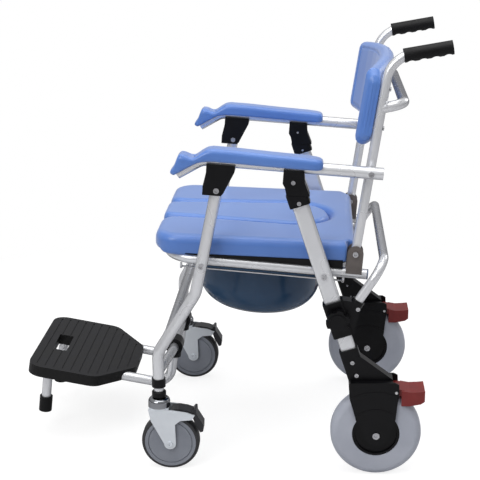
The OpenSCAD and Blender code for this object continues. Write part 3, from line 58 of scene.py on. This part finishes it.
# Camera, solved from the photograph: degrees, and metres with Y counted from the rear axle
CAMERA_TILT, CAMERA_TURN, CAMERA_ROLL = 16.609, -3.737, -0.3698
CAMERA_X, CAMERA_Y, CAMERA_Z = 2.66032, -0.13421, 1.24238
CAMERA_SENSOR, CAMERA_LENS, CAMERA_REACH = 36.0, 90.6, 100.0

LIGHTS = {
    "key": dict(place=(2.4, -1.6, 2.3), target=(0, 0, 0.45), size=(1.8, 1.4), power=36),
    "top": dict(place=(0.3, 0.1, 3.0), target=(0, 0, 0), size=(2.6, 2.6), power=50),
    "rear": dict(place=(-1.8, 2.2, 1.8), target=(0, 0, 0.5), size=(1.2, 1.2), power=12),
}
WHITE = (1, 1, 1, 1)
SKY_HORIZON, SKY_WHITE_FROM, SKY_STRENGTH = (0.42, 0.42, 0.44, 1), 0.7, 0.62

# Floor: its colour to other rays, its shade and glow near the chair, and where it turns plain white
FLOOR_HALF = 40.0
FLOOR_CARD, FLOOR_SHADE, FLOOR_GLOW = (0.55, 0.55, 0.56, 1), (0.32, 0.32, 0.32, 1), 0.79
SHADOW_FADES, SHADOW_ENDS = 0.75, 1.5

# Range of a noise that is spread over a whole tone, and the fineness of each noise
NOISE_LOW, NOISE_HIGH = 0.3, 0.7
CLOUD_DETAIL, GLOSS_DETAIL, GRAIN_DETAIL = 4.0, 2.0, 2.0
BUMP_STRENGTH = 0.35

# Sockets of a Mix node that mixes colours
MIX_FACTOR, MIX_A, MIX_B, MIX_RESULT = 0, 6, 7, 2


def link_object(name, data):
    obj = bpy.data.objects.new(name, data)
    bpy.context.scene.collection.objects.link(obj)
    return obj


def smooth_faces(mesh):
    for polygon in mesh.polygons:
        polygon.use_smooth = True


# Camera
def set_camera():
    tilt = math.radians(CAMERA_TILT)
    turn = math.radians(CAMERA_TURN)
    roll = math.radians(CAMERA_ROLL)
    look = Vector((-math.cos(tilt) * math.cos(turn), math.cos(tilt) * math.sin(turn), -math.sin(tilt)))
    level = look.cross(Vector((0, 0, 1))).normalized()
    upright = level.cross(look)
    right = math.cos(roll) * level + math.sin(roll) * upright
    up = math.cos(roll) * upright - math.sin(roll) * level
    data = bpy.data.cameras.new("camera")
    data.sensor_width = CAMERA_SENSOR
    data.lens = CAMERA_LENS
    data.clip_end = CAMERA_REACH
    camera = link_object("camera", data)
    turned = Matrix((right, up, -look)).transposed()
    low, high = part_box("rear_tyre_left")
    axle_y = (low.y + high.y) / 2
    camera.matrix_world = Matrix.Translation((CAMERA_X, axle_y + CAMERA_Y, CAMERA_Z)) @ turned.to_4x4()
    bpy.context.scene.camera = camera


# Light, floor and world
def add_area(name, place, target, size, power):
    data = bpy.data.lights.new(name, "AREA")
    data.shape = "RECTANGLE"
    data.size, data.size_y = size
    data.energy = power
    light = link_object(name, data)
    light.location = place
    light.rotation_euler = (Vector(target) - Vector(place)).to_track_quat("-Z", "Y").to_euler()


def mix_shaders(tree, factor, first, second):
    node = tree.nodes.new("ShaderNodeMixShader")
    for place, socket in enumerate((factor, first, second)):
        tree.links.new(socket, node.inputs[place])
    return node.outputs[0]


# One shader where the camera looks straight at it, another for every other ray
def choose_for_camera(tree, other, seen):
    path = tree.nodes.new("ShaderNodeLightPath")
    return mix_shaders(tree, path.outputs["Is Camera Ray"], other, seen)


# White to the camera with a faint shadow near the chair; a plain grey card to every other ray
def floor_material():
    mat, tree, shader = new_material("floor_white")
    shader.inputs["Base Color"].default_value = FLOOR_CARD
    shader.inputs["Roughness"].default_value = 0.9
    shader.inputs["Specular IOR Level"].default_value = 0.0
    coords = tree.nodes.new("ShaderNodeTexCoord")
    length = tree.nodes.new("ShaderNodeVectorMath")
    length.operation = "LENGTH"
    tree.links.new(coords.outputs["Object"], length.inputs[0])
    far = spread(tree, length.outputs["Value"], 0.0, 1.0, SHADOW_FADES, SHADOW_ENDS)
    lit = tree.nodes.new("ShaderNodeBsdfDiffuse")
    lit.inputs["Color"].default_value = FLOOR_SHADE
    lift = tree.nodes.new("ShaderNodeEmission")
    lift.inputs["Strength"].default_value = FLOOR_GLOW
    near = tree.nodes.new("ShaderNodeAddShader")
    tree.links.new(lit.outputs[0], near.inputs[0])
    tree.links.new(lift.outputs[0], near.inputs[1])
    white = tree.nodes.new("ShaderNodeEmission")
    seen = mix_shaders(tree, far, near.outputs[0], white.outputs[0])
    surface = choose_for_camera(tree, shader.outputs[0], seen)
    tree.links.new(surface, tree.nodes["Material Output"].inputs["Surface"])
    return mat


# Sky: soft white overhead, greyer at the horizon, white where the camera sees it
def set_world():
    world = bpy.data.worlds.new("studio")
    world.use_nodes = True
    bpy.context.scene.world = world
    tree = world.node_tree
    back = tree.nodes["Background"]
    ramp = tree.nodes.new("ShaderNodeValToRGB")
    horizon, overhead = ramp.color_ramp.elements
    horizon.position = 0.0
    horizon.color = SKY_HORIZON
    overhead.position = SKY_WHITE_FROM
    overhead.color = WHITE
    tree.links.new(coordinate_parts(tree, "Generated")["Z"], ramp.inputs[0])
    tree.links.new(ramp.outputs[0], back.inputs["Color"])
    back.inputs["Strength"].default_value = SKY_STRENGTH
    seen = tree.nodes.new("ShaderNodeBackground")
    seen.inputs["Color"].default_value = WHITE
    surface = choose_for_camera(tree, back.outputs[0], seen.outputs[0])
    tree.links.new(surface, tree.nodes["World Output"].inputs["Surface"])


def set_stage():
    mesh = bpy.data.meshes.new("floor")
    half = FLOOR_HALF
    corners = [(-half, -half, 0), (half, -half, 0), (half, half, 0), (-half, half, 0)]
    mesh.from_pydata(corners, [], [(0, 1, 2, 3)])
    floor = link_object("floor", mesh)
    mesh.materials.append(floor_material())
    set_world()
    for name, light in LIGHTS.items():
        add_area(name, **light)
    scene = bpy.context.scene
    scene.view_settings.view_transform = "Standard"
    scene.view_settings.look = "None"


# Materials
def new_material(name):
    mat = bpy.data.materials.new(name)
    mat.use_nodes = True
    tree = mat.node_tree
    return mat, tree, tree.nodes["Principled BSDF"]


# Linear colour from sRGB bytes
def linear(*srgb):
    return tuple(((c / 255 + 0.055) / 1.055) ** 2.4 if c > 10 else c / 255 / 12.92 for c in srgb) + (1.0,)


# Maps a value from one range to another
def spread(tree, value, low, high, from_low=NOISE_LOW, from_high=NOISE_HIGH):
    node = tree.nodes.new("ShaderNodeMapRange")
    node.inputs["From Min"].default_value = from_low
    node.inputs["From Max"].default_value = from_high
    node.inputs["To Min"].default_value = low
    node.inputs["To Max"].default_value = high
    tree.links.new(value, node.inputs["Value"])
    return node.outputs["Result"]


# X, Y and Z of a texture coordinate
def coordinate_parts(tree, kind):
    coords = tree.nodes.new("ShaderNodeTexCoord")
    split = tree.nodes.new("ShaderNodeSeparateXYZ")
    tree.links.new(coords.outputs[kind], split.inputs[0])
    return split.outputs


# Node groups shared by the materials: cloudy tone, uneven gloss and fine grain
def finish_group(name, cells):
    tree = bpy.data.node_groups.new(name, "ShaderNodeTree")
    face = tree.interface
    for label in ("Dark", "Light"):
        face.new_socket(label, in_out="INPUT", socket_type="NodeSocketColor")
    for label in ("Cloud", "Smooth", "Rough", "Grain", "Depth"):
        face.new_socket(label, in_out="INPUT", socket_type="NodeSocketFloat")
    face.new_socket("Color", in_out="OUTPUT", socket_type="NodeSocketColor")
    face.new_socket("Roughness", in_out="OUTPUT", socket_type="NodeSocketFloat")
    face.new_socket("Normal", in_out="OUTPUT", socket_type="NodeSocketVector")
    given = tree.nodes.new("NodeGroupInput").outputs
    result = tree.nodes.new("NodeGroupOutput").inputs
    vector = tree.nodes.new("ShaderNodeTexCoord").outputs["Object"]

    def noise(scale, detail):
        node = tree.nodes.new("ShaderNodeTexNoise")
        node.inputs["Detail"].default_value = detail
        tree.links.new(vector, node.inputs["Vector"])
        tree.links.new(scale, node.inputs["Scale"])
        return node.outputs["Fac"]

    mix = tree.nodes.new("ShaderNodeMix")
    mix.data_type = "RGBA"
    cloud = spread(tree, noise(given["Cloud"], CLOUD_DETAIL), 0.0, 1.0)
    tree.links.new(cloud, mix.inputs[MIX_FACTOR])
    tree.links.new(given["Dark"], mix.inputs[MIX_A])
    tree.links.new(given["Light"], mix.inputs[MIX_B])
    tree.links.new(mix.outputs[MIX_RESULT], result["Color"])
    gloss = tree.nodes.new("ShaderNodeMapRange")
    gloss.inputs["From Min"].default_value = NOISE_LOW
    gloss.inputs["From Max"].default_value = NOISE_HIGH
    tree.links.new(noise(given["Cloud"], GLOSS_DETAIL), gloss.inputs["Value"])
    tree.links.new(given["Smooth"], gloss.inputs["To Min"])
    tree.links.new(given["Rough"], gloss.inputs["To Max"])
    tree.links.new(gloss.outputs["Result"], result["Roughness"])
    bump = tree.nodes.new("ShaderNodeBump")
    bump.inputs["Strength"].default_value = BUMP_STRENGTH
    if cells:
        grain = tree.nodes.new("ShaderNodeTexVoronoi")
        grain.feature = "DISTANCE_TO_EDGE"
        tree.links.new(vector, grain.inputs["Vector"])
        tree.links.new(given["Grain"], grain.inputs["Scale"])
        tree.links.new(grain.outputs["Distance"], bump.inputs["Height"])
    else:
        tree.links.new(noise(given["Grain"], GRAIN_DETAIL), bump.inputs["Height"])
    tree.links.new(given["Depth"], bump.inputs["Distance"])
    tree.links.new(bump.outputs["Normal"], result["Normal"])
    return tree


# Material on a shared finish: colours are sRGB bytes, cloud and grain are per metre, depth is in microns
def finish_material(name, dark, light, rough, metal=0.0, specular=0.5, grain=900.0, depth=50, cloud=12.0,
                    cells=False):
    mat, tree, shader = new_material(name)
    finish = tree.nodes.new("ShaderNodeGroup")
    finish.node_tree = groups["cells" if cells else "grain"]
    finish.inputs["Dark"].default_value = linear(*dark)
    finish.inputs["Light"].default_value = linear(*light)
    finish.inputs["Cloud"].default_value = cloud
    finish.inputs["Smooth"].default_value, finish.inputs["Rough"].default_value = rough
    finish.inputs["Grain"].default_value = grain
    finish.inputs["Depth"].default_value = depth * MICRON
    tree.links.new(finish.outputs["Color"], shader.inputs["Base Color"])
    tree.links.new(finish.outputs["Roughness"], shader.inputs["Roughness"])
    tree.links.new(finish.outputs["Normal"], shader.inputs["Normal"])
    shader.inputs["Metallic"].default_value = metal
    shader.inputs["Specular IOR Level"].default_value = specular
    return mat


# Puts a second colour over a material's own where a mask is one
def blend_colour(mat, mask, colour):
    tree = mat.node_tree
    shader = tree.nodes["Principled BSDF"]
    own = shader.inputs["Base Color"].links[0].from_socket
    mix = tree.nodes.new("ShaderNodeMix")
    mix.data_type = "RGBA"
    mix.inputs[MIX_B].default_value = linear(*colour)
    tree.links.new(mask, mix.inputs[MIX_FACTOR])
    tree.links.new(own, mix.inputs[MIX_A])
    tree.links.new(mix.outputs[MIX_RESULT], shader.inputs["Base Color"])


# Anodised tube: satin metal with a painted dark reflection that darkens its colour toward its edges
def aluminium_material():
    mat = finish_material("aluminium", dark=(222, 223, 226), light=(234, 235, 238), rough=(0.24, 0.30),
                          metal=0.62, grain=260, depth=3, cloud=9)
    # Painted reflection: a darker tone blended in where the tube turns away from the view, standing in for dark
    # surroundings mirrored at its edges
    painted_edge_reflection, painted_edge_from, painted_edge_to = (98, 99, 106), 0.50, 0.96
    facing = mat.node_tree.nodes.new("ShaderNodeLayerWeight")
    facing.inputs["Blend"].default_value = 0.5
    mask = spread(mat.node_tree, facing.outputs["Facing"], 0.0, 1.0, painted_edge_from, painted_edge_to)
    blend_colour(mat, mask, painted_edge_reflection)
    return mat


# Foam skin with a paler tone painted on its upper faces as painted light from above, and a soft sheen
def foam_material(name, dark, light):
    mat = finish_material(name, dark, light, rough=(0.29, 0.37), specular=0.6, grain=620, depth=60, cloud=7,
                          cells=True)
    # Painted light: the colour turns paler where the skin faces up, standing in for light falling on the tops
    painted_top_light_tone, painted_top_light_share, painted_top_light_from, painted_top_light_to = (172, 188, 222), 0.14, 0.85, 1.0
    tree = mat.node_tree
    upward = coordinate_parts(tree, "Normal")["Z"]
    blend_colour(mat, spread(tree, upward, 0.0, painted_top_light_share, painted_top_light_from, painted_top_light_to), painted_top_light_tone)
    shader = tree.nodes["Principled BSDF"]
    shader.inputs["Sheen Weight"].default_value = 0.38
    shader.inputs["Sheen Roughness"].default_value = 0.45
    return mat


# Footplate: painted shade makes its skirt blacker than its tread, which faces up to the light
def plate_material():
    mat = finish_material("plate_plastic", dark=(19, 19, 21), light=(30, 30, 33), rough=(0.46, 0.58),
                          specular=0.3, grain=800, depth=120, cloud=20, cells=True)
    # Painted shade: a blacker tone on faces that turn sideways or down, away from the light above
    painted_skirt_shade, painted_shade_until, tread_from = (8, 8, 9), 0.5, 0.8
    tree = mat.node_tree
    upward = coordinate_parts(tree, "Normal")["Z"]
    blend_colour(mat, spread(tree, upward, 1.0, 0.0, painted_shade_until, tread_from), painted_skirt_shade)
    return mat


# Caster fork: bright zinc with a polished swivel dome
def fork_material():
    zinc_metal = 0.4
    mat = finish_material("fork_metal", dark=(214, 219, 225), light=(226, 231, 236), rough=(0.30, 0.36),
                          metal=zinc_metal, grain=200, depth=3, cloud=14)
    dome_tone, dome_from, dome_to = (150, 152, 156), 144 * MM, 146 * MM
    dome_metal, dome_rough, zinc_rough = 1.0, 0.10, 0.34
    tree = mat.node_tree
    shader = tree.nodes["Principled BSDF"]
    dome = spread(tree, coordinate_parts(tree, "Object")["Z"], 0.0, 1.0, dome_from, dome_to)
    blend_colour(mat, dome, dome_tone)
    tree.links.new(spread(tree, dome, zinc_metal, dome_metal, 0.0, 1.0), shader.inputs["Metallic"])
    tree.links.new(spread(tree, dome, zinc_rough, dome_rough, 0.0, 1.0), shader.inputs["Roughness"])
    return mat


# Brake pedal: red plastic on a bright pin
def pedal_material():
    mat = finish_material("pedal_plastic", dark=(112, 32, 31), light=(128, 42, 40), rough=(0.38, 0.50),
                          specular=0.4, cloud=25)
    pin_tone, pin_r, pin_edge = (196, 196, 198), 4.2 * MM, 4.6 * MM
    tree = mat.node_tree
    pin = next(j["pos_m"] for j in frame["joints"] if j["child"] == "pedal_left")
    parts = coordinate_parts(tree, "Object")
    across = tree.nodes.new("ShaderNodeCombineXYZ")
    tree.links.new(parts["Y"], across.inputs["Y"])
    tree.links.new(parts["Z"], across.inputs["Z"])
    from_pin = tree.nodes.new("ShaderNodeVectorMath")
    from_pin.operation = "DISTANCE"
    from_pin.inputs[1].default_value = (0, pin[1], pin[2])
    tree.links.new(across.outputs[0], from_pin.inputs[0])
    blend_colour(mat, spread(tree, from_pin.outputs["Value"], 1.0, 0.0, pin_r, pin_edge), pin_tone)
    return mat


# Finishes that need nothing beyond the shared groups
PLAIN_FINISHES = {
    "wire": dict(dark=(205, 205, 208), light=(220, 220, 223), rough=(0.16, 0.24), metal=1.0, grain=300,
                 depth=10),
    "bolts": dict(dark=(172, 172, 175), light=(204, 204, 207), rough=(0.20, 0.30), metal=1.0, grain=300,
                  depth=10, cloud=60),
    "hinge_plate": dict(dark=(98, 92, 89), light=(112, 105, 102), rough=(0.38, 0.52), metal=0.4, grain=600,
                        depth=30, cloud=40),
    "bucket_plastic": dict(dark=(36, 62, 90), light=(48, 76, 106), rough=(0.16, 0.24), specular=0.35,
                           grain=300, depth=30, cloud=6),
    "black_plastic": dict(dark=(5, 5, 7), light=(10, 10, 13), rough=(0.32, 0.44), specular=0.22, depth=60,
                          cloud=25),
    "plug_plastic": dict(dark=(94, 106, 126), light=(112, 124, 144), rough=(0.40, 0.50)),
    "grip_rubber": dict(dark=(8, 8, 9), light=(14, 14, 16), rough=(0.42, 0.56), specular=0.22, depth=80,
                        cloud=30),
    "lever_plastic": dict(dark=(38, 38, 41), light=(52, 52, 56), rough=(0.32, 0.44), metal=0.35, cloud=25),
    "caster_tread": dict(dark=(38, 38, 40), light=(52, 52, 55), rough=(0.50, 0.62), depth=60, cloud=30),
    "caster_body": dict(dark=(124, 128, 137), light=(138, 142, 151), rough=(0.38, 0.50), depth=40, cloud=20),
    "rear_tread": dict(dark=(164, 168, 180), light=(178, 182, 193), rough=(0.46, 0.58), depth=60, cloud=14),
}


def make_materials():
    made = {
        "aluminium": aluminium_material(),
        "plate_plastic": plate_material(),
        "fork_metal": fork_material(),
        "pedal_plastic": pedal_material(),
        "blue_pad": foam_material("blue_foam", (78, 119, 192), (88, 130, 202)),
        "blue_insert": foam_material("blue_foam_insert", (80, 121, 193), (90, 132, 203)),
    }
    for slot, finish in PLAIN_FINISHES.items():
        made[slot] = finish_material(slot, **finish)
    return made


# Moulded pads: the CAD solid remeshed to an even skin, softened, then shaped by a formula
def moulded_copy(name, node, body, slot, voxel, smoothing, shape=None):
    obj = link_object(name, nodes[node].data.copy())
    bpy.context.view_layer.objects.active = obj
    remesh = obj.modifiers.new("even_skin", "REMESH")
    remesh.mode = "VOXEL"
    remesh.voxel_size = voxel
    remesh.use_smooth_shade = True
    soften = obj.modifiers.new("soften", "SMOOTH")
    soften.factor = 0.5
    soften.iterations = smoothing
    graph = bpy.context.evaluated_depsgraph_get()
    mesh = bpy.data.meshes.new_from_object(obj.evaluated_get(graph))
    obj.modifiers.clear()
    obj.data = mesh
    mesh.name = name
    if shape is not None:
        normals = [vertex.normal.copy() for vertex in mesh.vertices]
        for vertex, normal in zip(mesh.vertices, normals):
            vertex.co += shape(vertex.co, normal)
        mesh.update()
    mesh.materials.clear()
    mesh.materials.append(materials[slot])
    smooth_faces(mesh)
    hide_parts(node)
    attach(obj, body)


def smooth_step(low, high, value):
    t = min(1.0, max(0.0, (value - low) / (high - low)))
    return t * t * (3 - 2 * t)


# Depth of a moulded line at a distance from its middle, as a negative offset
def dent(distance, depth, width):
    return -depth * math.exp(-(distance / width) ** 2)


# Back pad: a line around its raised panel and three flutes down each wing
def back_lines():
    along = Vector((0, math.sin(BACK_LEAN), math.cos(BACK_LEAN)))
    front = Vector((0, -math.cos(BACK_LEAN), math.sin(BACK_LEAN)))
    corners = [v.co for v in nodes["backrest_pad"].data.vertices]
    top = max(c.dot(along) for c in corners)
    bottom = min(c.dot(along) for c in corners)
    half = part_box("backrest_pad")[1].x
    wing_share, panel_facing, wing_facing = 0.95, 0.3, 0.35
    wing = max(c.dot(front) for c in corners if abs(c.x) > wing_share * half)
    line_in, line_depth, line_width = 16 * MM, 1.8 * MM, 2.2 * MM
    drop = 20 * MM
    flutes = (5 * MM, 12 * MM, 19 * MM)

    def shape(co, normal):
        offset = 0.0
        height = co.dot(along)
        if normal.dot(front) > panel_facing:
            edge = top - drop * (co.x / half) ** 2 - line_in - height
            side = half - 2 * line_in - abs(co.x)
            foot = height - bottom - line_in
            nearest = min(abs(edge), abs(side), abs(foot))
            if min(edge, side, foot) > -line_width:
                offset += dent(nearest, line_depth, line_width)
        if abs(normal.x) > wing_facing:
            behind = wing - co.dot(front)
            rise = smooth_step(bottom + line_in, bottom + 3 * line_in, height)
            end = smooth_step(-top + 2 * line_in, -top + 4 * line_in, -height)
            offset += rise * end * dent(min(abs(behind - f) for f in flutes), line_depth, line_width)
        return offset * normal

    return shape


# Seat: its sides reach down over the runners, and a rounded channel runs around the insert
def seat_lines():
    low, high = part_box("seat_insert")
    seat_low, seat_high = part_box("seat_pad")
    radius = (high.x - low.x) / 2
    middle = high.y - radius
    taper, top_facing = 0.052, 0.2
    channel, channel_w, channel_deep = 2.2 * MM, 3 * MM, 3.5 * MM
    skirt_drop, skirt_reach = 6 * MM, 24 * MM
    thick = 39 * MM
    fall = (seat_high.z - seat_low.z - thick) / (seat_high.y - seat_low.y)

    def shape(co, normal):
        behind = co.y - middle
        if behind > 0:
            gap = abs(math.hypot(co.x, behind) - radius)
        else:
            gap = abs(abs(co.x) - radius - taper * behind)
        offset = Vector((0, 0, 0))
        if normal.z > top_facing:
            rear_end = smooth_step(radius / 2, radius, behind)
            front_end = smooth_step(-low.y - 2 * radius / 3, -low.y, -co.y)
            ends = rear_end + front_end
            offset.z += dent(gap, channel + ends * channel_deep, channel_w * (1 + ends))
        outer = smooth_step(seat_high.x - skirt_reach, seat_high.x - skirt_reach / 2, abs(co.x))
        height = co.z - seat_low.z - fall * (seat_high.y - co.y)
        offset.z -= skirt_drop * outer * smooth_step(-thick / 2, -thick / 8, -height)
        return offset

    return shape


# Rippled weld bead around a tube end: a ring whose thickness swells with each pass of the torch
def weld_bead(name, middle, axis, radius, body):
    ring_steps, tube_steps, ripples = 96, 10, 24
    thick, swell = 1.5 * MM, 0.35 * MM
    turn = Vector((0, 0, 1)).rotation_difference(Vector(axis)).to_matrix()
    verts = []
    for i in range(ring_steps):
        around = 2 * math.pi * i / ring_steps
        bead_r = thick + swell * math.sin(ripples * around)
        for j in range(tube_steps):
            over = 2 * math.pi * j / tube_steps
            out = radius + bead_r * math.cos(over)
            local = Vector((out * math.cos(around), out * math.sin(around), bead_r * math.sin(over)))
            verts.append(Vector(middle) + turn @ local)
    faces = []
    for i in range(ring_steps):
        k = (i + 1) % ring_steps
        for j in range(tube_steps):
            m = (j + 1) % tube_steps
            ring, after = i * tube_steps, k * tube_steps
            faces.append((ring + j, after + j, after + m, ring + m))
    mesh = bpy.data.meshes.new(name)
    mesh.from_pydata(verts, [], faces)
    mesh.materials.append(materials["aluminium"])
    smooth_faces(mesh)
    obj = link_object(name, mesh)
    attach(obj, body)


# Beads where the upper cross-bar meets the front legs and the hoop meets the back tubes
def add_welds():
    leg_d, back_d, hoop_d = 25 * MM, 20 * MM, 22 * MM
    legs_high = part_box("front_legs")[1]
    bars_low, bars_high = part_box("front_cross_bars")
    between = (bars_low.z + bars_high.z) / 2
    upper = [v.co for v in nodes["front_cross_bars"].data.vertices if v.co.z > between]
    bar_y = (min(c.y for c in upper) + max(c.y for c in upper)) / 2
    bar_z = (min(c.z for c in upper) + max(c.z for c in upper)) / 2
    bar_r = (max(c.z for c in upper) - min(c.z for c in upper)) / 2
    hoop_low, hoop_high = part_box("back_hoop")
    rearward = Vector((0, math.cos(BACK_LEAN), -math.sin(BACK_LEAN)))
    hoop_z = hoop_high.z - hoop_d / 2
    for label, sign in (("left", 1), ("right", -1)):
        bar_end = (sign * (legs_high.x - leg_d), bar_y, bar_z)
        weld_bead("bar_weld_" + label, bar_end, (1, 0, 0), bar_r, "front_frame")
        hoop_end = Vector((sign * (hoop_high.x - hoop_d / 2), hoop_low.y, hoop_z)) + rearward * back_d / 2
        weld_bead("hoop_weld_" + label, hoop_end, rearward, hoop_d / 2, "back_frame")


# Gives each CAD node its slot's material and shades it smooth between its sharp edges
def dress_nodes():
    for part in frame["record"]["subparts"]:
        obj = nodes[part["node"]]
        obj.data.materials.clear()
        obj.data.materials.append(materials[part["material_slot"]])
        smooth_faces(obj.data)
        edge = obj.modifiers.new("crease", "EDGE_SPLIT")
        edge.split_angle = CREASE_ANGLE


groups = {"grain": finish_group("grain_finish", False), "cells": finish_group("cell_finish", True)}
materials = make_materials()
set_camera()
set_stage()
dress_nodes()
moulded_copy("seat_skin", "seat_pad", "seat_frame", "blue_pad", voxel=3 * MM, smoothing=5, shape=seat_lines())
moulded_copy("insert_skin", "seat_insert", "insert", "blue_insert", voxel=2.5 * MM, smoothing=4,
             shape=seat_lines())
moulded_copy("back_skin", "backrest_pad", "back_frame", "blue_pad", voxel=2 * MM, smoothing=6,
             shape=back_lines())
for side in ("left", "right"):
    moulded_copy("armrest_skin_" + side, "armrest_pad_" + side, "armrests", "blue_pad", voxel=2.5 * MM,
                 smoothing=5)
add_welds()
